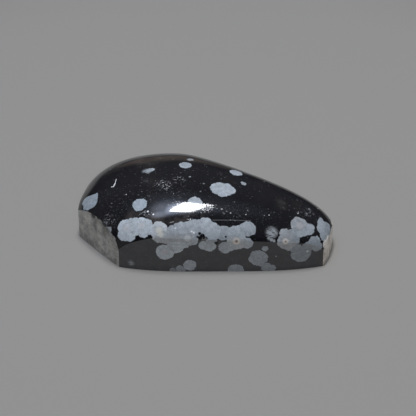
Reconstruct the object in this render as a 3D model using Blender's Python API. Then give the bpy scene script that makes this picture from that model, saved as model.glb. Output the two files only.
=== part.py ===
"""Snowflake obsidian cabochon: one polished stone, cut as a long hexagon with a domed top.

The stone lies on its flat back with +Z up. Its blunt head points to -X and its narrow foot to +X.
The origin is on the back, in the middle of the stone's outline. All sizes are in metres.
"""

import math

import bmesh
import bpy
from mathutils import Vector

# Outline of the back: two short slanted sides at the head, two long sides down to the foot
LENGTH = 0.0368
HEAD_WIDTH = 0.0090
SHOULDER_WIDTH = 0.0208
FOOT_WIDTH = 0.0064
SHOULDER_FROM_MIDDLE = 0.0102

# How far each side bows outwards between its corners, and how square that bow is
LONG_SIDE_BOW = 0.0012
SLANTED_SIDE_BOW = 0.00015
END_BOW = 0.0004
BOW_POWER = 3.5
END_BOW_FADE = 3.0

# Dome: its peak stands towards the head, and it falls away to both ends and both sides
THICKNESS = 0.0102
PEAK_FROM_MIDDLE = 0.0040
HEAD_REACH = 0.0146
FOOT_REACH = 0.02215
PEAK_BLEND = 0.0020
PEAK_SOFTNESS = 0.15
RIDGE_POWER = 1.30
SPAN = 0.01055
SPAN_TAPER = 0.64
SPAN_SWELL = 0.78
SIDE_POWER = 2.5
CROWN_POWER = 3.3

# Small flat cut round the back's rim, which keeps the rim from chipping
RIM_CHAMFER = 0.00015

# How finely the dome is divided: along the slanted sides, along the long sides, and across
HEAD_COLUMNS = 12
LONG_COLUMNS = 44
ROWS = 28

# Polished black volcanic glass
GLASS_COLOUR = (0.012, 0.012, 0.015, 1.0)
GLASS_ROUGHNESS = 0.12

CORNER_TO_CORNER = LENGTH - 2.0 * END_BOW
HEAD_CORNER = Vector((-CORNER_TO_CORNER / 2.0, HEAD_WIDTH / 2.0))
SHOULDER_CORNER = Vector((-SHOULDER_FROM_MIDDLE, SHOULDER_WIDTH / 2.0))
FOOT_CORNER = Vector((CORNER_TO_CORNER / 2.0, FOOT_WIDTH / 2.0))


def clear_scene():
    """Remove every object, so that the stone is the only one."""
    for thing in list(bpy.data.objects):
        bpy.data.objects.remove(thing)


def bow(share):
    """Bow at a share of the way between two corners: 0 at both corners and 1 in the middle."""
    return 1.0 - abs(2.0 * share - 1.0) ** BOW_POWER


def side_point(start, end, depth, share):
    """Point of a side on the +Y half of the outline, which bows outwards by the depth."""
    run = end - start
    outwards = Vector((-run.y, run.x)).normalized()
    return start + run * share + outwards * depth * bow(share)


def outline_point(column):
    """Point on the +Y edge of the outline for a column, counted from the head to the foot."""
    if column <= HEAD_COLUMNS:
        share = column / HEAD_COLUMNS
        return side_point(HEAD_CORNER, SHOULDER_CORNER, SLANTED_SIDE_BOW, share)
    share = (column - HEAD_COLUMNS) / LONG_COLUMNS
    return side_point(SHOULDER_CORNER, FOOT_CORNER, LONG_SIDE_BOW, share)


def plan_point(column, row):
    """Point of the plan on a line straight across the stone, from its -Y edge to its +Y edge."""
    edge = outline_point(column)
    across = 2.0 * row / ROWS - 1.0
    along = 2.0 * column / (HEAD_COLUMNS + LONG_COLUMNS) - 1.0
    end_push = math.copysign(abs(along) ** END_BOW_FADE, along)
    return Vector((edge.x + END_BOW * end_push * bow(row / ROWS), edge.y * across))


def dome_height(x, y):
    """Height of the polished top above the back."""
    from_peak = x + PEAK_FROM_MIDDLE
    footwards = 0.5 * (1.0 + math.tanh(from_peak / PEAK_BLEND))
    fall = from_peak * ((1.0 - footwards) / HEAD_REACH + footwards / FOOT_REACH)
    ridge = (fall ** 2 + PEAK_SOFTNESS ** 2) ** (RIDGE_POWER / 2.0) - PEAK_SOFTNESS ** RIDGE_POWER
    share = from_peak / CORNER_TO_CORNER
    span = SPAN * (1.0 - SPAN_TAPER * share + SPAN_SWELL * share ** 2)
    side = abs(y / span) ** SIDE_POWER
    return THICKNESS * (1.0 - ridge - side) ** (1.0 / CROWN_POWER)


def dome_skin(mesh):
    """Add the domed top as a grid of faces between the stone's four edges."""
    columns = HEAD_COLUMNS + LONG_COLUMNS
    grid = []
    for column in range(columns + 1):
        points = [plan_point(column, row) for row in range(ROWS + 1)]
        grid.append([mesh.verts.new((p.x, p.y, dome_height(p.x, p.y))) for p in points])
    cells = []
    for left, right in zip(grid, grid[1:]):
        for row in range(ROWS):
            cells.append(mesh.faces.new((left[row], right[row], right[row + 1], left[row + 1])))
    bmesh.ops.triangulate(mesh, faces=cells, quad_method="SHORT_EDGE")


def walls_and_back(mesh):
    """Drop straight walls from the dome's edge and close them with the flat back."""
    rim = [edge for edge in mesh.edges if edge.is_boundary]
    dropped = bmesh.ops.extrude_edge_only(mesh, edges=rim)["geom"]
    for part in dropped:
        if isinstance(part, bmesh.types.BMVert):
            part.co.z = 0.0
    back_rim = [edge for edge in mesh.edges if edge.is_boundary]
    bmesh.ops.holes_fill(mesh, edges=back_rim, sides=0)
    bmesh.ops.recalc_face_normals(mesh, faces=mesh.faces)
    bmesh.ops.bevel(
        mesh, geom=back_rim, offset=RIM_CHAMFER, offset_type="OFFSET", segments=1, affect="EDGES"
    )


def glass_material():
    """Plain black glass for the stone."""
    material = bpy.data.materials.new("obsidian")
    material.use_nodes = True
    shader = material.node_tree.nodes["Principled BSDF"]
    shader.inputs["Base Color"].default_value = GLASS_COLOUR
    shader.inputs["Roughness"].default_value = GLASS_ROUGHNESS
    shader.inputs["Metallic"].default_value = 0.0
    return material


def make_cabochon():
    """Build the stone as one closed body with crisp edges between its walls and its dome."""
    mesh = bmesh.new()
    dome_skin(mesh)
    walls_and_back(mesh)
    data = bpy.data.meshes.new("cabochon")
    mesh.to_mesh(data)
    mesh.free()
    data.shade_smooth()
    data.set_sharp_from_angle(angle=math.radians(20.0))
    data.materials.append(glass_material())
    stone = bpy.data.objects.new("cabochon", data)
    bpy.context.scene.collection.objects.link(stone)
    return stone


clear_scene()
make_cabochon()
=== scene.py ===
"""Looks of a snowflake obsidian cabochon: a long hexagon of polished black glass with pale spots.

The stone's surface is grown by Geometry Nodes from the same rule as the solid it stands for. Its
spots are balls of pale crystal that the polished surface cuts through. Which ball, speck or patch a
point of the surface is in is written on the mesh, and the shader turns that into colour and gloss.
"""

import logging
import math
import random
from dataclasses import dataclass, fields
from enum import Enum
from typing import Any, Sequence

import bpy
import numpy as np
from mathutils import Matrix, Vector


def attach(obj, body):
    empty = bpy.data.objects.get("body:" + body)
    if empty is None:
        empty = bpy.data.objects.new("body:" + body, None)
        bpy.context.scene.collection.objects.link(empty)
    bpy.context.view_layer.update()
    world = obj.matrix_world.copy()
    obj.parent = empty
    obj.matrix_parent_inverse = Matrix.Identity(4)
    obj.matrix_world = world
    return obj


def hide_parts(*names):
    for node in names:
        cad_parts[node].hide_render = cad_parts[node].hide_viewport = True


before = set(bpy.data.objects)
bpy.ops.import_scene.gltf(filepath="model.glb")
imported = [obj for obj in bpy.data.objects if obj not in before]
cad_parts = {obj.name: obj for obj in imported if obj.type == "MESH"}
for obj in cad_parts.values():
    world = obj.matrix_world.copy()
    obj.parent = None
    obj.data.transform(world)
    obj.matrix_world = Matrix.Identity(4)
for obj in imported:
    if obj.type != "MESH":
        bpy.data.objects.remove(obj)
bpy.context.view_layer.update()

LOG = logging.getLogger("cabochon")
STONE_NODE = "cabochon"
MM = 0.001
TOUCH = 0.0001
WALL_FACET = 1.0

Colour = tuple[float, float, float]


class Graph:
    """A node tree that hands out nodes and terms, so that a formula reads as a formula."""

    MIX_SHARE, MIX_FIRST, MIX_SECOND, MIX_RESULT = 0, 6, 7, 2

    def __init__(self, tree: bpy.types.NodeTree) -> None:
        """Wrap a node tree.

        Args:
            tree: The shader, world or geometry tree to fill.
        """
        self.tree = tree

    def node(
        self,
        kind: str,
        settings: dict[str, Any] | None = None,
        values: dict[Any, Any] | None = None,
    ) -> bpy.types.Node:
        """Add one node.

        Args:
            kind: The node's type name.
            settings: Its properties, which are set first.
            values: A value, a term or a socket for each input, by its name or its number.

        Returns:
            The new node.
        """
        node = self.tree.nodes.new(kind)
        for name, value in (settings or {}).items():
            setattr(node, name, value)
        for key, value in (values or {}).items():
            self._feed(node.inputs[key], value)
        return node

    def _feed(self, socket: bpy.types.NodeSocket, value: Any) -> None:
        """Link a term or a socket to an input, or set the input's own value.

        Args:
            socket: The input.
            value: A term, an output socket or a plain value.
        """
        if isinstance(value, Term):
            value = value.socket
        if isinstance(value, bpy.types.NodeSocket):
            self.tree.links.new(value, socket)
        elif socket.type == "RGBA":
            socket.default_value = (*value, 1.0)
        else:
            socket.default_value = value

    def term(self, node: bpy.types.Node, output: int | str = 0) -> "Term":
        """Wrap one output of a node as a term."""
        return Term(self, node.outputs[output])

    def maths(self, operation: str, *values: Any) -> "Term":
        """Add a Math node.

        Args:
            operation: The node's operation.
            values: Its inputs, in order.

        Returns:
            The node's result.
        """
        node = self.node("ShaderNodeMath", {"operation": operation}, dict(enumerate(values)))
        return self.term(node)

    def vector_maths(self, operation: str, *values: Any, output: str = "Vector") -> "Term":
        """Add a Vector Math node.

        Args:
            operation: The node's operation.
            values: Its inputs, in order.
            output: The name of the output to return.

        Returns:
            The node's result.
        """
        kind = "ShaderNodeVectorMath"
        node = self.node(kind, {"operation": operation}, dict(enumerate(values)))
        return self.term(node, output)

    def scaled(self, vector: "Term", factor: Any) -> "Term":
        """Scale a vector by a number or a term."""
        node = self.node("ShaderNodeVectorMath", {"operation": "SCALE"}, {0: vector, "Scale": factor})
        return self.term(node)

    def joined(self, x: Any, y: Any, z: Any) -> "Term":
        """Join three numbers into a vector."""
        return self.term(self.node("ShaderNodeCombineXYZ", None, {0: x, 1: y, 2: z}))

    def parted(self, vector: "Term") -> tuple["Term", "Term", "Term"]:
        """Part a vector into its three numbers."""
        node = self.node("ShaderNodeSeparateXYZ", None, {0: vector})
        return self.term(node, 0), self.term(node, 1), self.term(node, 2)

    def blended(self, share: Any, first: Any, second: Any) -> "Term":
        """Mix two colours.

        Args:
            share: 0 gives the first colour and 1 the second.
            first: The first colour, as three numbers or a term.
            second: The second colour.

        Returns:
            The mixed colour.
        """
        settings = {"data_type": "RGBA", "clamp_factor": True}
        values = {self.MIX_SHARE: share, self.MIX_FIRST: first, self.MIX_SECOND: second}
        return self.term(self.node("ShaderNodeMix", settings, values), self.MIX_RESULT)

    def step(self, value: Any, low: Any, high: Any) -> "Term":
        """Rise smoothly from 0 at the low value to 1 at the high value.

        Args:
            value: What rises.
            low: The low value.
            high: The high value.

        Returns:
            The step.
        """
        settings = {"interpolation_type": "SMOOTHSTEP", "clamp": True}
        values = {"Value": value, "From Min": low, "From Max": high}
        return self.term(self.node("ShaderNodeMapRange", settings, values))

    def noise(self, place: "Term", scale: float, detail: float = 2.0, rough: float = 0.5) -> "Term":
        """Read a noise between 0 and 1, of which 0.5 is the middle.

        Args:
            place: Where to read it, in millimetres.
            scale: How many blobs there are in a millimetre.
            detail: How many finer layers are added.
            rough: How strong each finer layer is.

        Returns:
            The noise.
        """
        values = {"Vector": place, "Scale": scale, "Detail": detail, "Roughness": rough}
        return self.term(self.node("ShaderNodeTexNoise", {"noise_dimensions": "3D"}, values))

    def colour_noise(self, place: "Term", scale: float) -> "Term":
        """Read a noise whose three numbers differ, each between -0.5 and 0.5."""
        node = self.node("ShaderNodeTexNoise", None, {"Vector": place, "Scale": scale, "Detail": 1.0})
        return self.vector_maths("SUBTRACT", self.term(node, "Color"), (0.5, 0.5, 0.5))

    def cells(self, place: "Term", scale: float, feature: str) -> "Term":
        """Distance to the nearest cell's middle, or to the nearest edge between cells."""
        values = {"Vector": place, "Scale": scale}
        return self.term(self.node("ShaderNodeTexVoronoi", {"feature": feature}, values), "Distance")

    def attribute(self, name: str, output: str = "Fac") -> "Term":
        """Read an attribute that the mesh carries."""
        settings = {"attribute_type": "GEOMETRY", "attribute_name": name}
        return self.term(self.node("ShaderNodeAttribute", settings), output)


class Term:
    """One output socket, on which Python's operators add Math nodes."""

    def __init__(self, graph: Graph, socket: bpy.types.NodeSocket) -> None:
        """Wrap a socket.

        Args:
            graph: The graph that the socket belongs to.
            socket: The output socket.
        """
        self.graph = graph
        self.socket = socket

    def __add__(self, other: Any) -> "Term":
        """This plus the other."""
        return self.graph.maths("ADD", self, other)

    def __radd__(self, other: Any) -> "Term":
        """The other plus this."""
        return self.graph.maths("ADD", other, self)

    def __sub__(self, other: Any) -> "Term":
        """This less the other."""
        return self.graph.maths("SUBTRACT", self, other)

    def __rsub__(self, other: Any) -> "Term":
        """The other less this."""
        return self.graph.maths("SUBTRACT", other, self)

    def __mul__(self, other: Any) -> "Term":
        """This times the other."""
        return self.graph.maths("MULTIPLY", self, other)

    def __rmul__(self, other: Any) -> "Term":
        """The other times this."""
        return self.graph.maths("MULTIPLY", other, self)

    def __truediv__(self, other: Any) -> "Term":
        """This over the other."""
        return self.graph.maths("DIVIDE", self, other)

    def __rtruediv__(self, other: Any) -> "Term":
        """The other over this."""
        return self.graph.maths("DIVIDE", other, self)

    def __pow__(self, other: Any) -> "Term":
        """This to the power of the other."""
        return self.graph.maths("POWER", self, other)

    def __abs__(self) -> "Term":
        """This without its sign."""
        return self.graph.maths("ABSOLUTE", self)

    def __gt__(self, other: Any) -> "Term":
        """1 where this is greater than the other, and 0 elsewhere."""
        return self.graph.maths("GREATER_THAN", self, other)

    def __lt__(self, other: Any) -> "Term":
        """1 where this is less than the other, and 0 elsewhere."""
        return self.graph.maths("LESS_THAN", self, other)


Number = float | Term


def tanh(value: Number) -> Number:
    """Hyperbolic tangent of a number or a term."""
    return value.graph.maths("TANH", value) if isinstance(value, Term) else math.tanh(value)


def held(value: Number) -> Number:
    """A number or a term held between 0 and 1."""
    if isinstance(value, Term):
        return value.graph.maths("MINIMUM", value.graph.maths("MAXIMUM", value, 0.0), 1.0)
    return min(max(value, 0.0), 1.0)


@dataclass(frozen=True)
class StoneSizes:
    """Driving sizes of the stone, in metres where they are lengths. Each is an input of its tree."""

    length: Number = 0.0368
    head_width: Number = 0.0090
    shoulder_width: Number = 0.0208
    foot_width: Number = 0.0064
    shoulder_from_middle: Number = 0.0102
    long_side_bow: Number = 0.0012
    slanted_side_bow: Number = 0.00015
    end_bow: Number = 0.0004
    bow_power: Number = 3.5
    thickness: Number = 0.0102
    peak_from_middle: Number = 0.0040
    head_reach: Number = 0.0146
    foot_reach: Number = 0.02215
    peak_blend: Number = 0.0020
    peak_softness: Number = 0.15
    ridge_power: Number = 1.30
    span: Number = 0.01055
    span_taper: Number = 0.64
    span_swell: Number = 0.78
    side_power: Number = 2.5
    crown_power: Number = 3.3
    corner_cut_reach: Number = 0.000145
    corner_cut_slope: Number = 1.88
    corner_cut_softness: Number = 0.0001
    corner_cut_along: Number = 0.1374
    corner_cut_across: Number = 0.9905


class Seat(Enum):
    """Which face a mark lies on. The words say what the mark's two numbers are."""

    DOME = "x and y"
    FAR_RIM = "x, and how far the mark is in from the far wall"
    NEAR_WALL = "x and height, on the -Y walls"
    FAR_WALL = "x and height, on the +Y walls"
    HEAD_WALL = "y and height"
    FOOT_WALL = "y and height, on the wall at the other end"
    BACK = "x, and y as a share of the half width"


@dataclass(frozen=True)
class StoneRule:
    """The rule of the stone's shape. It works on plain numbers and on the terms of a node tree."""

    sizes: StoneSizes
    shoulder_share: float = 3.0 / 14.0
    row_crowding: float = 0.15
    halvings: int = 24

    def bow(self, share: Number) -> Number:
        """Bow at a share of the way between two corners: 0 at both corners and 1 in the middle."""
        return 1.0 - abs(2.0 * share - 1.0) ** self.sizes.bow_power

    def side(
        self, start: Sequence[Number], run: Sequence[Number], depth: Number, share: Number
    ) -> tuple[Number, Number]:
        """Point of a side that bows outwards between its corners.

        Args:
            start: The corner nearer the head.
            run: The way from there to the next corner.
            depth: How far the side bows out.
            share: How much of the way to go.

        Returns:
            The point's x and y.
        """
        push = depth * self.bow(share) / (run[0] * run[0] + run[1] * run[1]) ** 0.5
        return (
            start[0] + run[0] * share - run[1] * push,
            start[1] + run[1] * share + run[0] * push,
        )

    def edge(self, share: Number) -> tuple[Number, Number]:
        """Point on the +Y edge of the outline.

        Args:
            share: 0 at the head, 1 at the foot.

        Returns:
            The point's x and y, before the ends bow out.
        """
        s = self.sizes
        half = s.length * 0.5 - s.end_bow
        head = (-1.0 * half, s.head_width * 0.5)
        shoulder = (-1.0 * s.shoulder_from_middle, s.shoulder_width * 0.5)
        foot = (half, s.foot_width * 0.5)
        slant = (shoulder[0] - head[0], shoulder[1] - head[1])
        flank = (foot[0] - shoulder[0], foot[1] - shoulder[1])
        near = held(share / self.shoulder_share)
        far = held((share - self.shoulder_share) / (1.0 - self.shoulder_share))
        slanted = self.side(head, slant, s.slanted_side_bow, near)
        flanked = self.side((0.0, 0.0), flank, s.long_side_bow, far)
        return slanted[0] + flanked[0], slanted[1] + flanked[1]

    def plan(self, share: Number, across: Number) -> tuple[Number, Number]:
        """Point inside the outline.

        Args:
            share: 0 at the head, 1 at the foot.
            across: -1 on the -Y edge, 1 on the +Y edge.

        Returns:
            The point's x and y.
        """
        x, y = self.edge(share)
        along = 2.0 * share - 1.0
        spread = across * (1.0 + self.row_crowding - self.row_crowding * across * across)
        end_push = self.sizes.end_bow * along * along * along * self.bow(0.5 * spread + 0.5)
        return x + end_push, y * spread

    def corner_cut(self, x: Number, y: Number) -> Number:
        """How much of the dome's height is cut away because a shoulder corner is near.

        Args:
            x: The place along the stone.
            y: The place across it.

        Returns:
            The height to take off.
        """
        s = self.sizes
        inwards = (x + s.shoulder_from_middle) * s.corner_cut_along
        inwards = inwards + (s.shoulder_width * 0.5 - abs(y)) * s.corner_cut_across
        depth = (s.corner_cut_reach - inwards) * s.corner_cut_slope
        softened = (depth * depth + s.corner_cut_softness * s.corner_cut_softness) ** 0.5
        return 0.5 * (depth + softened)

    def height(self, x: Number, y: Number) -> Number:
        """Height of the dome above the back.

        Args:
            x: The place along the stone.
            y: The place across it.

        Returns:
            The height.
        """
        s = self.sizes
        from_peak = x + s.peak_from_middle
        footwards = 0.5 * (1.0 + tanh(from_peak / s.peak_blend))
        fall = from_peak * ((1.0 - footwards) / s.head_reach + footwards / s.foot_reach)
        softened = (fall * fall + s.peak_softness * s.peak_softness) ** (s.ridge_power * 0.5)
        ridge = softened - s.peak_softness ** s.ridge_power
        share = from_peak / (s.length - 2.0 * s.end_bow)
        span = s.span * (1.0 - s.span_taper * share + s.span_swell * share * share)
        side = abs(y / span) ** s.side_power
        return s.thickness * (1.0 - ridge - side) ** (1.0 / s.crown_power) - self.corner_cut(x, y)

    def half_width(self, x: float) -> float:
        """Half width of the outline at a place along the stone, found by halving the range.

        Args:
            x: The place, in millimetres.

        Returns:
            The half width, in millimetres.
        """
        low, high = 0.0, 1.0
        for _ in range(self.halvings):
            middle = 0.5 * (low + high)
            if self.edge(middle)[0] < x * MM:
                low = middle
            else:
                high = middle
        return self.edge(low)[1] / MM

    def seated(self, seat: Seat, first: float, second: float) -> Vector:
        """Find a mark's place from its two numbers.

        Args:
            seat: The face that it lies on.
            first: Its first number, in millimetres.
            second: Its second number.

        Returns:
            The place, in millimetres.
        """
        if seat in (Seat.HEAD_WALL, Seat.FOOT_WALL):
            end = self.sizes.length * 0.5 / MM
            return Vector((end if seat is Seat.FOOT_WALL else -end, first, second))
        width = self.half_width(first)
        if seat is Seat.BACK:
            return Vector((first, width * second, 0.0))
        if seat in (Seat.NEAR_WALL, Seat.FAR_WALL):
            return Vector((first, width if seat is Seat.FAR_WALL else -width, second))
        y = width - second if seat is Seat.FAR_RIM else second
        return Vector((first, y, self.height(first * MM, y * MM) / MM))


class Body(Enum):
    """Colour of a spot's crystal."""

    FROST = (0.325, 0.358, 0.386)
    ICE = (0.316, 0.360, 0.402)
    PEARL = (0.338, 0.358, 0.372)
    ASH = (0.261, 0.258, 0.245)
    CREAM = (0.588, 0.562, 0.512)


@dataclass(frozen=True)
class CoreLook:
    """Looks of a spot's middle: its colour, how strongly it shows, and how dark the dot in it is."""

    colour: Colour
    strength: float
    dot: float


class Core(Enum):
    """Kinds of a spot's middle."""

    PLAIN = CoreLook((0.33, 0.36, 0.40), 0.0, 0.0)
    ROSE = CoreLook((0.37, 0.345, 0.35), 0.5, 0.0)
    HONEY = CoreLook((0.60, 0.59, 0.53), 0.9, 0.0)
    SMOKE = CoreLook((0.27, 0.30, 0.33), 0.5, 0.3)
    RUST = CoreLook((0.60, 0.555, 0.51), 0.9, 0.8)
    BLUSH = CoreLook((0.50, 0.48, 0.47), 0.5, 0.0)
    SNOW = CoreLook((0.56, 0.585, 0.60), 0.7, 0.0)


@dataclass(frozen=True)
class Spot:
    """A ball of pale crystal. Its two numbers and its radius are in millimetres. Its light scales its
    crystal's colour: partly the spot's own tone, partly painted light set for how brightly it is lit
    where it lies.
    """

    seat: Seat
    first: float
    second: float
    radius: float
    core: Core = Core.PLAIN
    body: Body = Body.FROST
    light: float = 1.0
    veil: float = 0.0


def on_dome(x: float, y: float, radius: float, core: Core = Core.PLAIN, **looks: Any) -> Spot:
    """A spot on the dome."""
    return Spot(Seat.DOME, x, y, radius, core, **looks)


def on_wall(x: float, height: float, radius: float, core: Core = Core.PLAIN, **looks: Any) -> Spot:
    """A spot on one of the two near walls."""
    return Spot(Seat.NEAR_WALL, x, height, radius, core, **looks)


def on_foot(y: float, height: float, radius: float, core: Core = Core.PLAIN, **looks: Any) -> Spot:
    """A spot on the wall at the foot."""
    return Spot(Seat.FOOT_WALL, y, height, radius, core, **looks)


LONE_SPOTS = (
    on_dome(-16.1, -4.65, 1.4, Core.SMOKE, body=Body.ICE, light=0.75),
    on_dome(-16.9, -3.9, 0.85, body=Body.ICE, light=0.76),
    on_dome(-15.6, -5.2, 0.9, body=Body.ICE, light=0.74),
    on_dome(-15.65, -3.95, 0.65, body=Body.ICE, light=0.8),
    on_dome(-15.5, -3.6, 0.35, body=Body.ICE, light=0.82),
    on_dome(-7.97, -6.73, 1.05, body=Body.ICE, light=0.92),
    on_dome(-8.7, 0.6, 0.6, light=0.84, veil=0.12), on_dome(-9.15, 0.6, 0.42, light=0.72, veil=0.5),
    on_dome(-8.3, 0.85, 0.42, light=0.92), on_dome(-8.6, 0.1, 0.25, light=0.6, veil=0.3),
    on_dome(-3.73, 2.57, 0.86, Core.SMOKE, light=0.94),
    on_dome(-3.52, 4.6, 0.45, light=0.75, veil=0.15),
    on_dome(3.55, 3.75, 0.95), on_dome(2.4, -1.5, 1.35), on_dome(2.85, -1.5, 1.5),
    on_dome(1.85, -1.5, 0.75), on_dome(3.75, -1.3, 0.92), on_dome(3.2, -0.75, 0.85),
    on_dome(2.2, -0.85, 0.75),
    on_dome(5.3, 1.15, 0.36, light=0.85), on_dome(5.05, 1.3, 0.25, light=0.8),
    on_dome(-0.3, -5.2, 1.0, light=0.97), on_dome(-2.3, -0.3, 0.17, light=0.6),
    on_dome(10.93, -5.48, 0.74, body=Body.PEARL, light=0.93, veil=0.65),
    on_dome(10.65, -6.0, 0.24, body=Body.PEARL, light=0.9, veil=0.1),
    on_dome(11.0, -5.98, 0.26, body=Body.PEARL, veil=0.1),
    on_dome(11.35, -5.93, 0.22, body=Body.PEARL, light=0.95, veil=0.1),
)

# The band's light values above 1 are partly painted light, for the light that falls near the crease.
SHOULDER_BAND = (
    on_dome(-9.15, -9.5, 1.35, Core.BLUSH, light=1.36), on_dome(-9.55, -9.95, 0.85, light=1.56),
    on_dome(-8.6, -10.0, 0.9, light=1.48), on_dome(-8.0, -9.17, 0.95, light=1.28),
    on_dome(-7.0, -9.32, 1.22, Core.BLUSH, light=1.38), on_dome(-6.6, -9.8, 0.8, light=1.46),
    on_dome(-5.8, -9.5, 0.82, light=1.36), on_dome(-7.7, -9.7, 0.7, light=1.46),
    on_dome(-8.6, -9.15, 0.85, light=1.22), on_dome(-6.3, -9.15, 0.8, light=1.26),
    on_dome(-4.4, -9.45, 1.25, Core.HONEY, body=Body.PEARL, light=1.38),
    on_dome(-4.15, -9.7, 1.2, Core.HONEY, body=Body.PEARL, light=1.2),
    on_dome(-4.3, -9.9, 0.92, body=Body.PEARL), on_dome(-2.4, -9.15, 1.0, light=1.03),
    on_dome(-3.3, -9.75, 0.95, body=Body.PEARL), on_dome(-1.3, -8.7, 1.1, light=1.1),
    on_dome(-1.9, -8.75, 0.75, light=1.04), on_dome(-0.5, -8.35, 0.85, light=1.08),
    on_dome(0.35, -8.15, 1.2, light=1.05), on_dome(1.1, -7.75, 0.9, light=1.11),
    on_dome(1.7, -7.6, 1.15, light=1.14), on_dome(-2.0, -9.4, 1.2, body=Body.PEARL, light=0.95),
    on_dome(-0.4, -9.05, 1.3, Core.SNOW, body=Body.PEARL, light=1.04),
    on_dome(1.1, -8.2, 0.7, light=1.05), on_dome(2.7, -7.7, 1.15, light=1.13),
    on_dome(3.6, -7.6, 0.95, light=1.14), on_dome(3.0, -8.0, 0.85, light=1.12),
    on_dome(4.5, -7.45, 1.05, light=0.95), on_dome(6.3, -6.95, 1.15, light=1.07),
    on_dome(7.7, -6.15, 1.06, light=0.94), on_dome(5.4, -7.2, 0.8, light=1.12),
    on_dome(7.0, -6.5, 0.9, light=0.92), on_wall(-2.0, 4.5, 1.25, light=1.15),
    on_wall(-3.5, 3.35, 1.3, Core.ROSE, light=1.14), on_wall(-2.6, 4.2, 0.85, light=0.98),
    on_wall(-0.8, 4.9, 0.8, light=1.08), on_wall(0.35, 5.4, 0.75, light=1.04),
    on_wall(1.85, 4.6, 0.75, light=1.02), on_wall(2.6, 4.45, 0.9, light=1.02),
    on_wall(2.45, 5.1, 0.6, light=0.95), on_wall(1.95, 5.6, 0.4, body=Body.ASH, light=0.5),
    on_wall(3.2, 5.4, 0.45, light=0.8),
    on_wall(6.3, 5.25, 1.45, Core.RUST, body=Body.PEARL, light=1.1),
    on_wall(4.75, 4.2, 0.95, light=0.94), on_wall(5.5, 4.4, 0.8, light=1.0),
    on_wall(6.4, 4.6, 0.75, light=0.98), on_wall(7.75, 4.9, 0.85, light=1.02),
)

LONG_WALL_SPOTS = (
    on_wall(10.2, 3.9, 0.45, light=0.8), on_wall(9.3, 2.3, 1.32, Core.SMOKE, light=0.77),
    on_wall(10.4, 0.7, 0.75, light=0.66), on_wall(11.2, 0.5, 0.55, light=0.62),
    on_wall(9.8, 1.2, 0.5, light=0.64), on_wall(6.2, 0.1, 1.15, light=0.72),
    on_wall(-0.1, 1.1, 0.92, light=0.86), on_wall(-1.4, 0.3, 0.75, light=0.64),
    on_wall(-2.5, 0.1, 0.5, light=0.58), on_wall(-8.4, 1.0, 0.35, light=0.6, veil=0.5),
)

FOOT_SPOTS = (
    on_dome(14.45, -3.12, 1.32, Core.ROSE, body=Body.PEARL, light=0.74),
    on_dome(15.75, -2.85, 0.85, light=0.84), on_dome(15.1, -3.4, 0.9, light=0.82),
    on_dome(14.6, -3.85, 0.8, light=0.86), on_dome(15.95, -2.5, 0.62, light=0.84),
    on_dome(12.95, -5.43, 1.2, Core.RUST, body=Body.PEARL, light=0.98),
    on_dome(13.5, -5.4, 1.1, body=Body.PEARL, light=0.9),
    on_dome(13.4, -4.95, 1.05, body=Body.PEARL, light=0.8),
    on_dome(12.65, -4.9, 0.72, body=Body.PEARL, light=0.86),
    on_dome(14.1, -4.85, 0.75, light=0.73), on_dome(13.8, -4.35, 0.6, light=0.76),
    on_wall(15.1, 2.65, 1.4, light=0.65), on_wall(15.9, 3.7, 0.85, light=0.68),
    on_wall(14.5, 3.5, 0.9, light=0.69), on_dome(16.75, -3.75, 1.0, Core.SMOKE, light=0.8),
    on_dome(17.0, -3.2, 0.45, light=0.85), on_wall(17.2, 3.6, 0.8, light=0.8),
    on_dome(17.2, -0.6, 0.8, light=0.84), on_dome(17.35, -1.45, 0.85, light=0.84),
    on_dome(17.85, -2.1, 0.75, light=0.82), on_dome(17.85, -0.3, 0.8, light=0.72),
    on_dome(18.1, -1.1, 0.7, light=0.66), on_dome(16.9, 0.1, 0.35, light=0.8),
)

FOOT_WALL_SPOTS = (
    on_foot(-1.9, 3.1, 1.25, body=Body.CREAM, light=1.05), on_foot(-1.6, 1.2, 1.4, body=Body.CREAM),
    on_foot(0.4, 2.2, 1.6, body=Body.CREAM), on_foot(2.2, 0.9, 1.0, body=Body.CREAM, light=0.95),
    on_foot(-2.3, 0.2, 0.8, body=Body.CREAM, light=0.9), on_foot(1.9, 3.2, 1.2, body=Body.CREAM),
)

# Spots of the slanted head wall. Their ash colour, warmer than the dome's, is partly painted light
# standing in for warmer light on this wall.
HEAD_WALL_SPOTS = (
    on_wall(-17.3, 3.0, 1.8, body=Body.ASH, light=1.06),
    on_wall(-15.9, 4.7, 1.1, body=Body.ASH, light=1.16),
    on_wall(-16.3, 2.2, 1.7, body=Body.ASH, light=0.94),
    on_wall(-14.7, 4.5, 1.3, body=Body.ASH, light=0.9),
    on_wall(-14.2, 3.3, 1.7, body=Body.ASH, light=1.1),
    on_wall(-12.7, 4.4, 1.2, body=Body.ASH, light=0.84),
    on_wall(-13.0, 2.2, 1.7, body=Body.ASH, light=1.12),
    on_wall(-11.7, 3.3, 1.1, body=Body.ASH, light=0.88),
    on_wall(-11.6, 1.5, 1.3, body=Body.ASH), on_wall(-11.2, 0.5, 0.9, body=Body.ASH, light=0.95),
    on_wall(-15.2, 1.0, 1.5, body=Body.ASH), on_wall(-17.2, 0.8, 1.4, body=Body.ASH, light=0.88),
    on_wall(-13.6, 0.4, 1.3, body=Body.ASH, light=0.9),
    on_wall(-12.3, 0.3, 1.1, body=Body.ASH, light=1.08),
    on_dome(-11.85, -9.3, 0.42, body=Body.PEARL, light=0.7),
    on_dome(-11.15, -9.95, 0.45, body=Body.ASH, light=0.9),
)


@dataclass(frozen=True)
class Drift:
    """Chains of spots that wander over a face which the photograph doesn't show."""

    seat: Seat
    chains: int
    first: tuple[float, float]
    second: tuple[float, float]
    body: Body
    wander: float = 0.6


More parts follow.
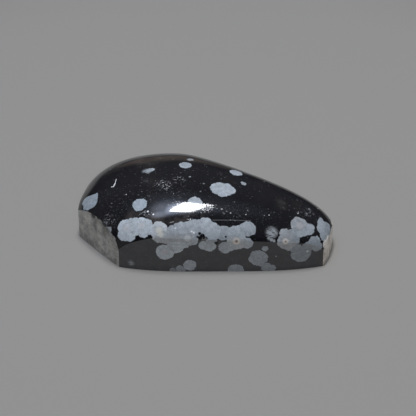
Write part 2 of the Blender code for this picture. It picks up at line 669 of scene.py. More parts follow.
DRIFTS = (
    Drift(Seat.FAR_WALL, 7, (-16.5, 13.0), (0.8, 5.0), Body.FROST),
    Drift(Seat.FAR_RIM, 5, (-15.0, 12.0), (0.1, 1.3), Body.FROST, 0.4),
    Drift(Seat.HEAD_WALL, 2, (-3.5, 1.5), (0.8, 4.0), Body.FROST),
    Drift(Seat.BACK, 12, (-17.0, 13.0), (-0.85, 0.85), Body.ASH, 0.1),
)


@dataclass(frozen=True)
class HiddenSpots:
    """Grows the drifts from a fixed seed."""

    seed: int = 41
    radii: tuple[float, float] = (0.5, 1.5)
    lights: tuple[float, float] = (0.7, 1.0)
    strides: tuple[float, float] = (0.7, 1.3)
    overrun: float = 3.0
    most_in_chain: int = 6

    def grow(self) -> list[Spot]:
        """All the spots of the hidden faces.

        Returns:
            The spots.
        """
        draw = random.Random(self.seed)
        cores = [Core.PLAIN, Core.PLAIN, Core.PLAIN, Core.SMOKE, Core.ROSE, Core.HONEY, Core.RUST]
        spots = []
        for drift in DRIFTS:
            for _ in range(drift.chains):
                along, level = draw.uniform(*drift.first), draw.uniform(*drift.second)
                for _ in range(draw.randint(1, self.most_in_chain)):
                    radius = draw.uniform(*self.radii)
                    second = level + draw.uniform(-drift.wander, drift.wander)
                    light = draw.uniform(*self.lights)
                    spots.append(
                        Spot(drift.seat, along, second, radius, draw.choice(cores), drift.body, light)
                    )
                    stride = radius * draw.uniform(*self.strides)
                    along = min(along + stride, drift.first[1] + self.overrun)
        return spots


class Fleck(Enum):
    """Colour of a fleck."""

    CHALK = (0.42, 0.43, 0.44)
    SNOW = (0.80, 0.80, 0.80)
    DULL = (0.13, 0.14, 0.15)
    SOOT = (0.006, 0.006, 0.008)


@dataclass(frozen=True)
class Speck:
    """A fleck of one colour, smaller than a spot. Its numbers are in millimetres."""

    seat: Seat
    first: float
    second: float
    radius: float
    fleck: Fleck = Fleck.CHALK


SPECKS = (
    Speck(Seat.DOME, -10.5, -4.8, 0.10), Speck(Seat.DOME, -6.5, -7.7, 0.15, Fleck.SNOW),
    Speck(Seat.DOME, -5.6, -8.0, 0.15, Fleck.SNOW), Speck(Seat.DOME, -3.6, -4.5, 0.09),
    Speck(Seat.DOME, -8.3, -4.4, 0.10, Fleck.DULL), Speck(Seat.DOME, 0.0, -1.2, 0.18, Fleck.DULL),
    Speck(Seat.DOME, 0.0, -3.0, 0.10, Fleck.DULL), Speck(Seat.DOME, -15.2, 2.8, 0.15, Fleck.DULL),
    Speck(Seat.DOME, -2.2, -8.8, 0.12, Fleck.SNOW), Speck(Seat.DOME, 0.1, -8.5, 0.16, Fleck.SNOW),
    Speck(Seat.DOME, 0.4, -8.5, 0.16, Fleck.SNOW), Speck(Seat.NEAR_WALL, -1.6, 5.0, 0.17, Fleck.SNOW),
    Speck(Seat.DOME, 7.8, 3.5, 0.08), Speck(Seat.DOME, 4.9, -5.2, 0.11),
    Speck(Seat.DOME, 4.0, -5.6, 0.09, Fleck.DULL), Speck(Seat.DOME, 7.0, -4.7, 0.10),
    Speck(Seat.DOME, 9.5, -3.9, 0.09, Fleck.DULL), Speck(Seat.DOME, 10.1, -3.6, 0.09),
    Speck(Seat.DOME, 7.1, -4.0, 0.12, Fleck.DULL), Speck(Seat.DOME, 13.8, -1.3, 0.13),
    Speck(Seat.DOME, 13.8, -1.0, 0.08), Speck(Seat.DOME, 14.9, -0.5, 0.18, Fleck.DULL),
    Speck(Seat.DOME, 15.0, 0.8, 0.20, Fleck.DULL), Speck(Seat.DOME, 16.0, 2.3, 0.12),
    Speck(Seat.NEAR_WALL, 11.7, 2.5, 0.10), Speck(Seat.NEAR_WALL, 15.9, 3.0, 0.19, Fleck.SNOW),
    Speck(Seat.NEAR_WALL, -14.85, 6.0, 0.62, Fleck.SOOT),
    Speck(Seat.NEAR_WALL, -13.9, 6.3, 0.45, Fleck.SOOT),
    Speck(Seat.NEAR_WALL, -12.75, 5.95, 0.58, Fleck.SOOT),
    Speck(Seat.DOME, 4.8, -7.6, 0.16, Fleck.SOOT),
    Speck(Seat.NEAR_WALL, 3.55, 5.0, 0.3, Fleck.SOOT),
    Speck(Seat.NEAR_WALL, -16.6, 6.1, 0.3, Fleck.SOOT),
    Speck(Seat.DOME, 1.2, -8.35, 0.26, Fleck.SOOT), Speck(Seat.DOME, 1.5, -8.42, 0.34, Fleck.SOOT),
    Speck(Seat.DOME, 1.8, -8.45, 0.24, Fleck.SOOT), Speck(Seat.DOME, 1.6, 2.0, 0.13, Fleck.SOOT),
)


@dataclass(frozen=True)
class Patch:
    """A round patch of the dome where pits or smoky glass are denser, in millimetres. The smoky glass
    is partly painted reflection.
    """

    x: float
    y: float
    radius: float
    strength: float


PITTED_PATCHES = (
    Patch(-5.1, -3.05, 1.9, 1.0), Patch(-6.0, -2.6, 2.2, 0.85), Patch(-3.7, -1.4, 2.0, 1.0),
    Patch(-8.2, -2.0, 1.6, 0.7), Patch(-11.8, -6.8, 3.0, 0.45), Patch(-10.5, -5.2, 3.4, 0.4),
    Patch(1.6, 2.2, 1.3, 0.6), Patch(-6.6, -8.0, 1.6, 0.8),
    Patch(1.4, -5.4, 1.6, 0.85), Patch(5.6, -4.9, 3.0, 0.45), Patch(9.6, -4.2, 2.4, 0.4),
    Patch(15.2, 0.0, 2.8, 0.7), Patch(-12.2, -8.4, 2.5, 0.8), Patch(-2.6, -4.6, 3.4, 0.55),
    Patch(-8.6, 3.8, 1.6, 0.4), Patch(-1.0, -7.2, 3.2, 0.5), Patch(9.0, 4.2, 2.4, 0.4),
    Patch(-14.0, -4.2, 2.6, 0.45), Patch(-6.4, -5.4, 2.4, 0.5), Patch(-3.4, 0.9, 2.0, 0.4),
)

# Patches of smoky glass, partly painted reflection: the brownish strip between the long highlight and
# the band of spots is painted here.
SMOKE_AND_REFLECTION_PATCHES = (
    Patch(-9.5, 4.4, 4.2, 0.68), Patch(-4.5, 5.8, 4.0, 0.53), Patch(11.1, -0.4, 1.3, 0.4),
    Patch(11.5, -1.5, 1.2, 0.3), Patch(-15.0, 2.4, 2.6, 0.38), Patch(-2.2, -7.5, 3.0, 1.0),
    Patch(-5.2, -8.2, 2.6, 1.0), Patch(0.8, -6.8, 2.4, 0.9), Patch(-8.4, -8.5, 1.8, 0.8),
)


@dataclass(frozen=True)
class MarkField:
    """Writes on a mesh which spot, speck and patch each part of its surface is in."""

    rule: StoneRule
    spots: Sequence[Spot]
    specks: Sequence[Speck]

    def write(self, mesh: bpy.types.Mesh) -> None:
        """Write the marks as attributes of the mesh's faces and points.

        Args:
            mesh: The stone's finished mesh.
        """
        points = self._read(mesh.vertices, "co")
        faces = self._read(mesh.polygons, "center")
        balls = self._balls(self.spots)
        nearest, _ = self._nearest(faces, balls)
        self._store(mesh, "FACE", "spot_middle", "FLOAT_VECTOR", balls[nearest, :3])
        self._store(mesh, "FACE", "spot_reach", "FLOAT", balls[nearest, 3])
        # Each body colour is scaled by the spot's light, which is partly painted light.
        bodies = np.array([(*(v * s.light for v in s.body.value), s.veil) for s in self.spots])
        cores = np.array([(*s.core.value.colour, s.core.value.strength) for s in self.spots])
        dots = np.array([s.core.value.dot for s in self.spots])
        self._store(mesh, "FACE", "spot_body", "FLOAT_COLOR", bodies[nearest])
        self._store(mesh, "FACE", "spot_core", "FLOAT_COLOR", cores[nearest])
        self._store(mesh, "FACE", "spot_dot", "FLOAT", dots[nearest])
        _, seam = self._nearest(points, balls)
        self._store(mesh, "POINT", "spot_seam", "FLOAT", seam)
        balls = self._balls(self.specks)
        nearest, _ = self._nearest(faces, balls)
        self._store(mesh, "FACE", "speck_middle", "FLOAT_VECTOR", balls[nearest, :3])
        self._store(mesh, "FACE", "speck_reach", "FLOAT", balls[nearest, 3])
        tones = np.array([(*s.fleck.value, 1.0) for s in self.specks])
        self._store(mesh, "FACE", "speck_tone", "FLOAT_COLOR", tones[nearest])
        self._store(mesh, "FACE", "crust", "FLOAT", self._crust(mesh, faces))
        self._store(mesh, "POINT", "pitting", "FLOAT", self._depth(points, PITTED_PATCHES))
        # Depth in the smoky patches, which are partly painted reflection.
        self._store(mesh, "POINT", "smoke", "FLOAT", self._depth(points, SMOKE_AND_REFLECTION_PATCHES))

    def _read(self, parts: Any, name: str) -> np.ndarray:
        """Places of a mesh's points or faces, in millimetres.

        Args:
            parts: The mesh's points or faces.
            name: The property that holds the place.

        Returns:
            One row for each of them.
        """
        values = np.empty(len(parts) * 3, np.float32)
        parts.foreach_get(name, values)
        return values.reshape(-1, 3) / MM

    def _balls(self, marks: Sequence[Spot] | Sequence[Speck]) -> np.ndarray:
        """Middle and radius of each mark's ball, in millimetres."""
        places = [self.rule.seated(m.seat, m.first, m.second) for m in marks]
        return np.array([(*place, m.radius) for place, m in zip(places, marks)])

    def _nearest(self, points: np.ndarray, balls: np.ndarray) -> tuple[np.ndarray, np.ndarray]:
        """Find the ball that reaches furthest over each point.

        Args:
            points: The points.
            balls: Each ball's middle and radius.

        Returns:
            The ball's number for each point, and how much further the next ball is.
        """
        best = np.full(len(points), np.inf)
        second = np.full(len(points), np.inf)
        number = np.zeros(len(points), int)
        for index, ball in enumerate(balls):
            gap = np.linalg.norm(points - ball[:3], axis=1) - ball[3]
            closer = gap < best
            second = np.where(closer, best, np.minimum(second, gap))
            best = np.where(closer, gap, best)
            number[closer] = index
        return number, np.minimum(second - best, 9.0)

    def _crust(self, mesh: bpy.types.Mesh, faces: np.ndarray) -> np.ndarray:
        """1 on the faces of the slanted near wall and of the foot's wall, which are all crystal.

        Args:
            mesh: The stone's mesh.
            faces: The middles of its faces.

        Returns:
            One number for each face.
        """
        facet = np.empty(len(faces), np.float32)
        mesh.attributes["facet"].data.foreach_get("value", facet)
        sizes = self.rule.sizes
        slanted = (faces[:, 0] < -sizes.shoulder_from_middle / MM) & (faces[:, 1] < 0.0)
        head = faces[:, 0] < -(sizes.length * 0.5 - sizes.end_bow) / MM
        foot = faces[:, 0] > (sizes.length * 0.5 - sizes.end_bow) / MM
        return (np.abs(facet - WALL_FACET) < 0.5) * ((slanted & ~head) | foot).astype(np.float32)

    def _depth(self, points: np.ndarray, patches: Sequence[Patch]) -> np.ndarray:
        """How deep each point lies in the patches, from 0 outside them to a patch's strength.

        Args:
            points: The points.
            patches: The patches.

        Returns:
            One number for each point.
        """
        deepest = np.zeros(len(points))
        for patch in patches:
            middle = np.array(self.rule.seated(Seat.DOME, patch.x, patch.y))
            share = np.clip(1.0 - np.linalg.norm(points - middle, axis=1) / patch.radius, 0.0, 1.0)
            deepest = np.maximum(deepest, share * share * (3.0 - 2.0 * share) * patch.strength)
        return deepest

    def _store(
        self, mesh: bpy.types.Mesh, domain: str, name: str, kind: str, values: np.ndarray
    ) -> None:
        """Store one attribute on a mesh.

        Args:
            mesh: The mesh.
            domain: Whether the values are the faces' or the points'.
            name: The attribute's name.
            kind: The attribute's type.
            values: One row for each face or point.
        """
        slot = {"FLOAT": "value", "FLOAT_VECTOR": "vector", "FLOAT_COLOR": "color"}[kind]
        layer = mesh.attributes.new(name, kind, domain)
        layer.data.foreach_set(slot, np.ascontiguousarray(values, np.float32).ravel())


@dataclass(frozen=True)
class Scratch:
    """A short straight scratch on the dome, from one place to another, in millimetres."""

    start: tuple[float, float]
    end: tuple[float, float]
    width: float
    strength: float


SCRATCHES = (
    Scratch((-13.2, -0.8), (-13.05, -1.9), 0.07, 1.0),
    Scratch((-13.05, -1.9), (-13.05, -2.65), 0.13, 1.0),
    Scratch((-13.05, -2.7), (-13.35, -2.65), 0.12, 0.8),
    Scratch((2.7, -6.75), (5.1, -6.05), 0.08, 0.12),
    Scratch((5.1, -6.05), (7.8, -5.25), 0.08, 0.1),
    Scratch((-6.8, -7.6), (-7.17, -7.82), 0.06, 0.28),
    Scratch((-7.17, -7.82), (-7.7, -8.2), 0.06, 0.24),
    Scratch((-3.05, -8.5), (-2.6, -8.3), 0.07, 0.4), Scratch((-0.8, -7.62), (-0.2, -7.45), 0.06, 0.35),
)


@dataclass(frozen=True)
class SnowflakeObsidian:
    """The stone's finish: black volcanic glass, pale crystal spots, specks, pits, smoky glass and
    scratches. Painted light is part of it: painted reflection in the smoky glass, and painted light on
    the walls and in the spots' light.
    """

    glass: Colour = (0.0045, 0.0046, 0.0062)
    # Grey of the walls: partly the haze of their duller polish, partly painted light standing in for
    # the floor's reflection.
    wall_haze_and_painted_light: Colour = (0.085, 0.084, 0.086)
    # Painted light: a warm factor that lightens the crystal on the walls.
    wall_crystal_painted_light: Colour = (1.67, 1.63, 1.57)
    # Brownish colour of smoky glass, partly painted reflection.
    dot: Colour = (0.10, 0.075, 0.06)
    smoke: Colour = (0.056, 0.048, 0.044)
    pit: Colour = (0.40, 0.40, 0.42)
    scratch: Colour = (0.70, 0.70, 0.70)
    lobes: float = 0.44
    edge_softness: float = 0.045
    veil_softness: float = 0.55
    gloss: float = 0.045

    def material(self, rule: StoneRule) -> bpy.types.Material:
        """Build the material.

        Args:
            rule: The stone's rule, which places the scratches.

        Returns:
            The material.
        """
        material = bpy.data.materials.new("snowflake_obsidian")
        material.use_nodes = True
        material.node_tree.nodes.clear()
        graph = Graph(material.node_tree)
        place = graph.scaled(graph.term(graph.node("ShaderNodeTexCoord"), "Object"), 1.0 / MM)
        facet = graph.attribute("facet")
        wall = graph.step(facet, 0.2, 0.8)
        back = graph.step(facet, 1.2, 1.8)
        spot, crystal = self._spots(graph, place, wall)
        speck = self._specks(graph, place)
        pits = self._pits(graph, place, spot)
        cuts = self._scratches(graph, place, rule)
        colour = graph.blended(spot, self._glass(graph, place, wall), crystal)
        colour = graph.blended(speck, colour, graph.attribute("speck_tone", "Color"))
        colour = graph.blended(pits, colour, self.pit)
        colour = graph.blended(cuts, colour, self.scratch)
        marks = held(pits + cuts)
        polish = graph.noise(place, 1.3, 3.0)
        rough = self.gloss + wall * (0.10 + 0.08 * polish) + back * 0.25 + spot * 0.03 + marks * 0.35
        bump = graph.node(
            "ShaderNodeBump",
            None,
            {"Strength": 1.0, "Distance": MM, "Height": self._relief(graph, place, spot, marks, wall)},
        )
        shader = graph.node(
            "ShaderNodeBsdfPrincipled",
            None,
            {"Base Color": colour, "Roughness": rough, "IOR": 1.49, "Normal": graph.term(bump)},
        )
        graph.node("ShaderNodeOutputMaterial", None, {"Surface": shader.outputs[0]})
        return material

    def _spots(self, graph: Graph, place: Term, wall: Term) -> tuple[Term, Term]:
        """How much a point is in a spot, and the crystal's colour there.

        Args:
            graph: The material's graph.
            place: The point, in millimetres.
            wall: 1 on the walls, where the crystal's colour is raised as painted light, standing in
                for the light that falls on the walls.

        Returns:
            The share from 0 to 1, and the colour.
        """
        middle = graph.attribute("spot_middle", "Vector")
        reach = graph.attribute("spot_reach")
        veil = graph.attribute("spot_body", "Alpha")
        crust = graph.attribute("crust")
        ray = graph.vector_maths("SUBTRACT", place, middle)
        away = graph.vector_maths("LENGTH", ray, output="Value")
        heading = graph.vector_maths("NORMALIZE", ray)
        own = graph.scaled(middle, 1.7)
        lobed = graph.noise(graph.vector_maths("ADD", heading, own), 1.6, 2.0, 0.6) - 0.5
        frayed = graph.noise(place, 3.0, 3.0) - 0.5
        streaks = graph.noise(graph.vector_maths("MULTIPLY", place, (1.3, 2.6, 5.0)), 1.0, 2.0)
        depth = reach * (1.0 + lobed * self.lobes) - away + frayed * 0.26
        softness = veil * self.veil_softness + self.edge_softness
        solid = 1.0 - veil * (1.1 - 1.4 * graph.step(streaks, 0.36, 0.62))
        share = held(graph.step(depth, -1.0 * softness, softness) * held(solid) + crust)
        rays = graph.vector_maths("ADD", graph.scaled(heading, 5.0), own)
        fibres = graph.noise(graph.vector_maths("ADD", rays, graph.scaled(ray, 0.5)), 1.0, 2.0) - 0.5
        mottle = graph.noise(place, 1.6, 4.0, 0.65) - 0.5
        grain = graph.noise(place, 6.0, 2.0, 0.6) - 0.5
        seam = 1.0 - graph.step(graph.attribute("spot_seam") + frayed * 0.1, 0.0, 0.2)
        rim = 1.0 - graph.step(depth, 0.02, 0.2)
        core = graph.attribute("spot_core", "Alpha")
        inwards = away / reach + mottle * 0.25
        ring = graph.step(inwards, 0.3, 0.45) * (1.0 - graph.step(inwards, 0.5, 0.75)) * core
        cloud = graph.noise(place, 0.6, 2.0) - 0.5
        tone = 1.0 + fibres * 0.6 + mottle * (0.9 + 0.4 * crust) + grain * 0.6 + cloud * crust * 1.8
        tone = tone + (rim * 0.06 - seam * 0.08) * (1.0 - crust) - ring * 0.14
        colour = graph.scaled(graph.attribute("spot_body", "Color"), tone)
        heart = (1.0 - graph.step(inwards, 0.2, 0.52)) * core
        colour = graph.blended(heart, colour, graph.attribute("spot_core", "Color"))
        dot = (1.0 - graph.step(inwards, 0.07, 0.22)) * graph.attribute("spot_dot")
        colour = graph.blended(dot, colour, self.dot)
        holes = graph.step(graph.noise(place, 5.5, 1.0), 0.70, 0.76)
        colour = graph.blended(holes * 0.4, colour, self.glass)
        # Painted light: on the walls the crystal's colour is multiplied up, standing in for the light
        # that falls on them.
        crystal_painted_light = graph.blended(wall, (1.0, 1.0, 1.0), self.wall_crystal_painted_light)
        return share, graph.vector_maths("MULTIPLY", colour, crystal_painted_light)

    def _specks(self, graph: Graph, place: Term) -> Term:
        """How much a point is in a speck, from 0 to 1.

        Args:
            graph: The material's graph.
            place: The point, in millimetres.

        Returns:
            The share.
        """
        away = graph.vector_maths(
            "DISTANCE", place, graph.attribute("speck_middle", "Vector"), output="Value"
        )
        frayed = (graph.noise(place, 5.0, 1.0) - 0.5) * 0.16
        reach = graph.attribute("speck_reach")
        return 1.0 - graph.step(away + frayed, reach * 0.6, reach * 1.1)

    def _pits(self, graph: Graph, place: Term, spot: Term) -> Term:
        """Open pits in the glass's polish: broken lines in the pitted patches, and dust elsewhere.

        Args:
            graph: The material's graph.
            place: The point, in millimetres.
            spot: How much the point is in a spot.

        Returns:
            The share from 0 to 1.
        """
        pitting = graph.attribute("pitting")
        bent = graph.vector_maths("ADD", place, graph.scaled(graph.colour_noise(place, 2.0), 0.5))
        lines = graph.cells(bent, 2.2, "DISTANCE_TO_EDGE")
        gaps = graph.step(graph.noise(place, 2.6, 2.0), 0.45, 0.58)
        broken = (1.0 - graph.step(lines, 0.01, 0.1)) * gaps * graph.step(pitting, 0.45, 0.9)
        size = held(graph.noise(place, 3.1, 0.0) - 0.40)
        dots = 1.0 - graph.step(graph.cells(place, 1.9, "F1"), 0.02, 0.05 + 1.1 * size)
        faint = graph.step(graph.noise(place, 0.7, 2.0), 0.3, 0.65)
        dust = dots * (0.14 + 0.55 * pitting) * (0.5 + 0.5 * faint)
        film = graph.step(graph.noise(place, 4.5, 2.0, 0.6), 0.52, 0.72) * (0.025 + 0.13 * pitting)
        return held(broken + dust + film) * (1.0 - 0.8 * spot)

    def _scratches(self, graph: Graph, place: Term, rule: StoneRule) -> Term:
        """How much a point is in a scratch, from its distance to each one's line.

        Args:
            graph: The material's graph.
            place: The point, in millimetres.
            rule: The stone's rule, which puts the scratches' ends on the dome.

        Returns:
            The share from 0 to 1.
        """
        total: Number = 0.0
        for scratch in SCRATCHES:
            start, end = (rule.seated(Seat.DOME, *spot) for spot in (scratch.start, scratch.end))
            run = end - start
            offset = graph.vector_maths("SUBTRACT", place, tuple(start))
            share = graph.vector_maths("DOT_PRODUCT", offset, tuple(run), output="Value")
            foot = graph.scaled(graph.joined(*run), held(share / run.length_squared))
            away = graph.vector_maths("DISTANCE", offset, foot, output="Value")
            line = 1.0 - graph.step(away, scratch.width * 0.3, scratch.width)
            total = total + line * scratch.strength
        return held(total)

    def _glass(self, graph: Graph, place: Term, wall: Term) -> Term:
        """The glass's colour: black, smoky in its patches, which are partly painted reflection, and on
        the walls a grey that is partly the haze of their duller polish and partly painted light.

        Args:
            graph: The material's graph.
            place: The point, in millimetres.
            wall: 1 on the walls.

        Returns:
            The colour.
        """
        # Smoky glass in its patches, partly painted reflection, gated by noise.
        smoke = graph.attribute("smoke") * graph.step(graph.noise(place, 0.5, 3.0), 0.35, 0.65)
        flow = graph.step(graph.noise(place, 0.25, 2.0), 0.5, 0.8) * 0.11
        dome = graph.blended(held(smoke + flow), self.glass, self.smoke)
        # The walls' mottled grey: partly polish haze, partly painted light standing in for the floor's
        # reflection.
        wall_grey_and_painted_light = graph.scaled(graph.joined(*self.wall_haze_and_painted_light), 0.75 + 0.5 * graph.noise(place, 1.1, 3.0))
        return graph.blended(wall, dome, wall_grey_and_painted_light)

    def _relief(self, graph: Graph, place: Term, spot: Term, marks: Term, wall: Term) -> Term:
        """Height of the fine relief in millimetres: waves of the polish, worn spots and open pits.

        Args:
            graph: The material's graph.
            place: The point, in millimetres.
            spot: How much the point is in a spot.
            marks: How much the point is in a pit or a scratch.
            wall: 1 on the walls.

        Returns:
            The height.
        """
        waves = (graph.noise(place, 0.5, 1.0) - 0.5) * 0.005
        grain = (graph.noise(place, 7.0, 3.0) - 0.5) * (0.0012 + 0.004 * wall)
        return waves + grain - spot * 0.002 - marks * 0.02


@dataclass
class Cabochon:
    """The polished stone, grown by a node tree and dressed as snowflake obsidian."""

    sizes: StoneSizes
    columns: int = 238
    rows: int = 136
    wall_rows: int = 22
    edge_round: float = 0.00006

    def build(self) -> bpy.types.Object:
        """Grow, dress and finish the stone.

        Returns:
            The finished piece.
        """
        rule = StoneRule(self.sizes)
        shell = self._grown(SnowflakeObsidian().material(rule))
        seen = LONE_SPOTS + SHOULDER_BAND + LONG_WALL_SPOTS + FOOT_SPOTS + FOOT_WALL_SPOTS
        spots = [*seen, *HEAD_WALL_SPOTS, *HiddenSpots().grow()]
        MarkField(rule, spots, SPECKS).write(shell)
        stone = bpy.data.objects.new("snowflake_cabochon", shell)
        bpy.context.scene.collection.objects.link(stone)
        LOG.info("%d spots", len(spots))
        return stone

    def _grown(self, material: bpy.types.Material) -> bpy.types.Mesh:
        """Run the shape's tree and round its edges.

        Args:
            material: The finish that the tree sets.

        Returns:
            A plain mesh.
        """
        seed_mesh = bpy.data.meshes.new("seed")
        carrier = bpy.data.objects.new("carrier", seed_mesh)
        bpy.context.scene.collection.objects.link(carrier)
        tree = self._tree()
        shape = carrier.modifiers.new("shape", "NODES")
        shape.node_group = tree
        for item in tree.interface.items_tree:
            if item.item_type == "SOCKET" and item.in_out == "INPUT":
                if item.socket_type == "NodeSocketMaterial":
                    shape[item.identifier] = material
                elif item.socket_type == "NodeSocketInt":
                    shape[item.identifier] = self._counts()[item.name]
                elif item.socket_type == "NodeSocketFloat":
                    shape[item.identifier] = self._lengths()[item.name]
        rounding = carrier.modifiers.new("rounding", "BEVEL")
        rounding.limit_method = "WEIGHT"
        rounding.width = self.edge_round
        rounding.segments = 2
        rounding.harden_normals = True
        evaluated = carrier.evaluated_get(bpy.context.evaluated_depsgraph_get())
        mesh = bpy.data.meshes.new_from_object(evaluated)
        mesh.name = "snowflake_cabochon"
        carrier.modifiers.clear()
        bpy.data.objects.remove(carrier)
        return mesh

    def _counts(self) -> dict[str, int]:
        """The tree's whole-number inputs by name."""
        return {"Columns": self.columns, "Rows": self.rows, "Wall Rows": self.wall_rows}

    def _lengths(self) -> dict[str, float]:
        """The tree's size inputs by name."""
        return {self._label(f.name): getattr(self.sizes, f.name) for f in fields(self.sizes)}

    def _label(self, name: str) -> str:
        """A field's name as a socket's name."""
        return name.replace("_", " ").title()

    def _tree(self) -> bpy.types.NodeTree:
        """The shape's tree: a gridded box whose sides are bowed and whose lid is lifted onto the dome.

        Returns:
            The tree.
        """
        tree = bpy.data.node_groups.new("cabochon_shape", "GeometryNodeTree")
        face = tree.interface
        face.new_socket("Geometry", in_out="INPUT", socket_type="NodeSocketGeometry")
        for name in self._counts():
            face.new_socket(name, in_out="INPUT", socket_type="NodeSocketInt")
        for name in self._lengths():
            face.new_socket(name, in_out="INPUT", socket_type="NodeSocketFloat")
        face.new_socket("Finish", in_out="INPUT", socket_type="NodeSocketMaterial")
        face.new_socket("Geometry", in_out="OUTPUT", socket_type="NodeSocketGeometry")
        graph = Graph(tree)
        given = graph.node("NodeGroupInput")
        counts = {name: graph.term(given, name) + 1.0 for name in self._counts()}
        sizes = StoneSizes(*(graph.term(given, name) for name in self._lengths()))
        box = graph.node(
            "GeometryNodeMeshCube",
            None,
            {
                "Size": (1.0, 1.0, 1.0),
                "Vertices X": counts["Columns"],
                "Vertices Y": counts["Rows"],
                "Vertices Z": counts["Wall Rows"],
            },
        )
        u, v, w = graph.parted(graph.term(graph.node("GeometryNodeInputPosition")))
        marked = self._facets(graph, box.outputs["Mesh"], w)
        marked = self._edges(graph, marked, u, v, w)
        rule = StoneRule(sizes)
        x, y = rule.plan(u + 0.5, v * 2.0)
        z = rule.height(x, y) * (w + 0.5)
        placed = graph.node(
            "GeometryNodeSetPosition", None, {"Geometry": marked, "Position": graph.joined(x, y, z)}
        )
        smooth = graph.node(
            "GeometryNodeSetShadeSmooth", None, {"Geometry": placed.outputs[0], "Shade Smooth": True}
        )
        real = graph.node("GeometryNodeRealizeInstances", None, {"Geometry": smooth.outputs[0]})
        dressed = graph.node(
            "GeometryNodeSetMaterial",
            None,
            {"Geometry": real.outputs[0], "Material": given.outputs["Finish"]},
        )
        graph.node("NodeGroupOutput", None, {"Geometry": dressed.outputs[0]})
        return tree

    def _facets(self, graph: Graph, geometry: Any, w: Term) -> Any:
        """Mark each face as dome (0), wall (1) or back (2).

        Args:
            graph: The tree's graph.
            geometry: The gridded box.
            w: How far up the box a point is, from -0.5 to 0.5.

        Returns:
            The geometry that carries the marks.
        """
        kind = 1.0 - (w > 0.5 - TOUCH) + (w < TOUCH - 0.5)
        node = graph.node(
            "GeometryNodeStoreNamedAttribute",
            {"data_type": "FLOAT", "domain": "FACE"},
            {"Geometry": geometry, "Name": "facet", "Value": kind},
        )
        return node.outputs[0]

    def _edges(self, graph: Graph, geometry: Any, u: Term, v: Term, w: Term) -> Any:
        """Weigh the stone's real edges, so that only they are rounded.

        Args:
            graph: The tree's graph.
            geometry: The gridded box.
            u: How far along the box a point is, from -0.5 to 0.5.
            v: How far across.
            w: How far up.

        Returns:
            The geometry that carries the weights.
        """
        on_end = abs(abs(u) - 0.5) < TOUCH
        on_side = abs(abs(v) - 0.5) < TOUCH
        on_lid = abs(abs(w) - 0.5) < TOUCH
        shoulder = abs(u + 0.5 - StoneRule.shoulder_share) < TOUCH
        corner = (on_end + on_side + on_lid > 1.5) + on_side * shoulder
        kept = graph.node("GeometryNodeInputMeshEdgeVertices")
        ends = [
            self._at_vertex(graph, corner, graph.term(kept, f"Vertex Index {number}"))
            for number in (1, 2)
        ]
        first, second = (graph.parted(graph.term(kept, f"Position {number}")) for number in (1, 2))
        on_shared = self._shared_plane(graph, first, second)
        node = graph.node(
            "GeometryNodeStoreNamedAttribute",
            {"data_type": "FLOAT", "domain": "EDGE"},
            {
                "Geometry": geometry,
                "Name": "bevel_weight_edge",
                "Value": ends[0] * ends[1] * on_shared,
            },
        )
        return node.outputs[0]

    def _at_vertex(self, graph: Graph, value: Term, index: Term) -> Term:
        """Read a value at one end of an edge.

        Args:
            graph: The tree's graph.
            value: The value.
            index: The number of the end's point.

        Returns:
            The value there, held between 0 and 1.
        """
        node = graph.node(
            "GeometryNodeFieldAtIndex",
            {"data_type": "FLOAT", "domain": "POINT"},
            {"Index": index, "Value": value},
        )
        return held(graph.term(node))

    def _shared_plane(self, graph: Graph, first: Sequence[Term], second: Sequence[Term]) -> Term:
        """1 where both ends of an edge lie on the same two of the box's planes.

        Args:
            graph: The tree's graph.
            first: One end.
            second: The other end.

        Returns:
            1 or 0.
        """
        total: Any = 0.0
        for one, other in zip(first, second):
            total = total + (abs(one - other) < TOUCH)
        return total > 1.5


@dataclass(frozen=True)
class PhotoCamera:
    """The camera of the photograph, found by fitting the stone's corners and edges."""

    target: tuple[float, float, float] = (-0.00041, 0.00268, 0.0030)
    azimuth: float = 14.5
    elevation: float = 35.0
    roll: float = -0.41
    distance: float = 0.2611
    lens: float = 154.06
    sensor: float = 36.0
    nearest: float = 0.005

    def place(self) -> bpy.types.Object:
        """Set up the camera and make it the scene's.

        Returns:
            The camera.
        """
        turn, rise = math.radians(self.azimuth), math.radians(self.elevation)
        back = Vector(
            (math.sin(turn) * math.cos(rise), -math.cos(turn) * math.cos(rise), math.sin(rise))
        )
        right = Vector((math.cos(turn), math.sin(turn), 0.0))
        up = back.cross(right)
        lean = math.radians(self.roll)
        right, up = (
            right * math.cos(lean) + up * math.sin(lean),
            up * math.cos(lean) - right * math.sin(lean),
        )
        camera = bpy.data.objects.new("camera", bpy.data.cameras.new("camera"))
        camera.data.lens = self.lens
        camera.data.sensor_width = self.sensor
        camera.data.clip_start = self.nearest
        turned = Matrix((right, up, back)).transposed().to_4x4()
        camera.matrix_world = Matrix.Translation(Vector(self.target) + back * self.distance) @ turned
        bpy.context.scene.collection.objects.link(camera)
        bpy.context.scene.camera = camera
        return camera


@dataclass(frozen=True)
class Glow:
    """A soft oval of light on the ceiling: its middle and half sizes one unit above the stone."""

    middle: tuple[float, float]
    half: tuple[float, float]
    core: float
    strength: float


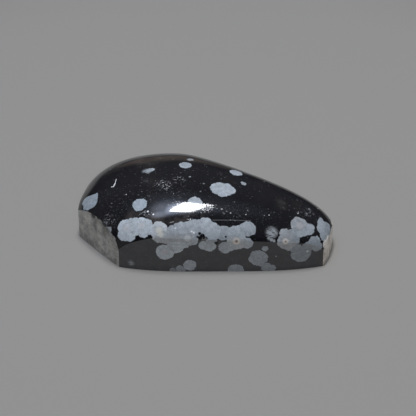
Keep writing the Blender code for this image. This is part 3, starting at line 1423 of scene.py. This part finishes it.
@dataclass(frozen=True)
class Studio:
    """A plain pale floor under one soft overhead lamp, in a dim room with a softly lit ceiling."""

    floor_half: float = 3.0
    floor_drop: float = 0.00002
    floor_colour: Colour = (0.243, 0.232, 0.213)
    lamp_place: tuple[float, float, float] = (0.0, -0.002, 0.40)
    lamp_size: tuple[float, float] = (0.049, 0.156)
    lamp_turn: float = -1.0
    lamp_power: float = 1.18
    room: Colour = (0.145, 0.145, 0.155)
    low_wall: Colour = (0.045, 0.045, 0.05)
    warm_corner: Colour = (0.24, 0.20, 0.175)
    warm_heading: tuple[float, float, float] = (-0.31, 0.95, 0.05)
    glow_colour: Colour = (0.82, 0.96, 1.25)
    glows: tuple[Glow, ...] = (
        Glow((-0.025, -0.04), (0.13, 0.36), 0.42, 5.0),
        Glow((-0.17, -0.06), (0.36, 0.48), 0.0, 2.6),
        Glow((-0.19, -0.36), (0.28, 0.25), 0.15, 3.0),
        Glow((-0.24, 0.15), (0.68, 0.66), 0.2, 0.32),
    )
    paper_reach: tuple[float, float] = (0.065, 0.16)
    table_colour: Colour = (0.105, 0.093, 0.082)

    def build(self) -> None:
        """Lay the floor, hang the lamp and light the room."""
        self._floor()
        self._lamp()
        self._room()

    def _floor(self) -> None:
        """A pale matt floor, just under the stone."""
        half = self.floor_half
        corners = [(-half, -half), (half, -half), (half, half), (-half, half)]
        mesh = bpy.data.meshes.new("floor")
        mesh.from_pydata([(x, y, -self.floor_drop) for x, y in corners], [], [(0, 1, 2, 3)])
        material = bpy.data.materials.new("floor_paper")
        material.use_nodes = True
        material.node_tree.nodes.clear()
        graph = Graph(material.node_tree)
        place = graph.term(graph.node("ShaderNodeTexCoord"), "Object")
        away = graph.vector_maths("LENGTH", place, output="Value")
        far = graph.step(away, *self.paper_reach)
        colour = graph.blended(far, self.floor_colour, self.table_colour)
        shader = graph.node("ShaderNodeBsdfPrincipled", None, {"Base Color": colour, "Roughness": 0.9})
        graph.node("ShaderNodeOutputMaterial", None, {"Surface": shader.outputs[0]})
        mesh.materials.append(material)
        floor = bpy.data.objects.new("floor", mesh)
        bpy.context.scene.collection.objects.link(floor)

    def _lamp(self) -> None:
        """One soft oblong lamp overhead, whose image is the long highlight on the dome."""
        light = bpy.data.lights.new("lamp", "AREA")
        light.shape = "RECTANGLE"
        light.size, light.size_y = self.lamp_size
        light.energy = self.lamp_power
        lamp = bpy.data.objects.new("lamp", light)
        lamp.location = self.lamp_place
        lamp.rotation_euler = (0.0, 0.0, math.radians(self.lamp_turn))
        bpy.context.scene.collection.objects.link(lamp)

    def _room(self) -> None:
        """A dim room with darker low walls, a warm far corner and soft bluish light on its ceiling."""
        world = bpy.data.worlds.new("room")
        world.use_nodes = True
        world.node_tree.nodes.clear()
        graph = Graph(world.node_tree)
        heading = graph.vector_maths("NORMALIZE", graph.term(graph.node("ShaderNodeTexCoord"),
    "Generated"))
        x, y, z = graph.parted(heading)
        warmth = graph.vector_maths("DOT_PRODUCT", heading, self.warm_heading, output="Value")
        low = graph.blended(graph.step(warmth, 0.965, 0.99), self.low_wall, self.warm_corner)
        colour = graph.blended(graph.step(z, 0.1, 0.6), low, self.room)
        up = graph.maths("MAXIMUM", z, 0.05)
        light: Number = 0.0
        for glow in self.glows:
            off_x = (x / up - glow.middle[0]) / glow.half[0]
            off_y = (y / up - glow.middle[1]) / glow.half[1]
            away = (off_x * off_x + off_y * off_y) ** 0.5
            light = light + (1.0 - graph.step(away, glow.core, 1.0)) * glow.strength
        glowing = graph.scaled(graph.joined(*self.glow_colour), light)
        colour = graph.vector_maths("ADD", colour, glowing)
        background = graph.node("ShaderNodeBackground", None, {"Color": colour, "Strength": 1.0})
        graph.node("ShaderNodeOutputWorld", None, {"Surface": background.outputs[0]})
        bpy.context.scene.world = world


def main() -> None:
    """Build the stone, its studio and its camera."""
    logging.basicConfig(level=logging.INFO, format="%(name)s: %(message)s")
    bpy.context.scene.view_settings.view_transform = "Standard"
    PhotoCamera().place()
    Studio().build()
    stone = Cabochon(StoneSizes()).build()
    triangles = sum(len(face.vertices) - 2 for face in stone.data.polygons)
    LOG.info("%s: %d triangles", stone.name, triangles)
    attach(stone, "root")
    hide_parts(STONE_NODE)


if __name__ == "__main__":
    main()
